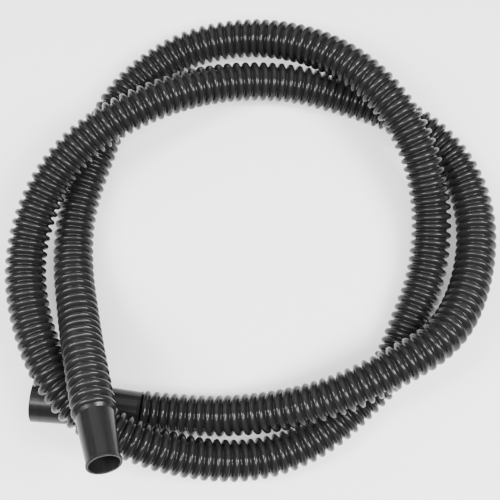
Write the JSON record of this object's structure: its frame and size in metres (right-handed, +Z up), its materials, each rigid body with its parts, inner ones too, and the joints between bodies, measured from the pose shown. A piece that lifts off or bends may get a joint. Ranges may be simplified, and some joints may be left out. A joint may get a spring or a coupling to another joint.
{
  "type": "vacuum hose",
  "caption": "Corrugated flexible vacuum hose in a loose coil, with a wide tapered push-on cuff on one end and a slim lipped cuff on the other.",
  "frame": {"origin": "on the floor under the middle of the coil", "axes": "+Z up from the floor that the coil lies on; +X towards the side of the coil away from the cuffs; +Y towards its far side, away from the cuff mouths"},
  "size_m": [0.4567, 0.4426, 0.142],
  "materials": {
    "hose": "satin black polyethylene, moulded ribs",
    "cuff": "smooth satin charcoal plastic with faint lengthwise moulding streaks"
  },
  "bodies": {
    "root": {"corrugated_hose": "hose", "large_cuff": "cuff", "small_cuff": "cuff"}
  },
  "joints": []
}
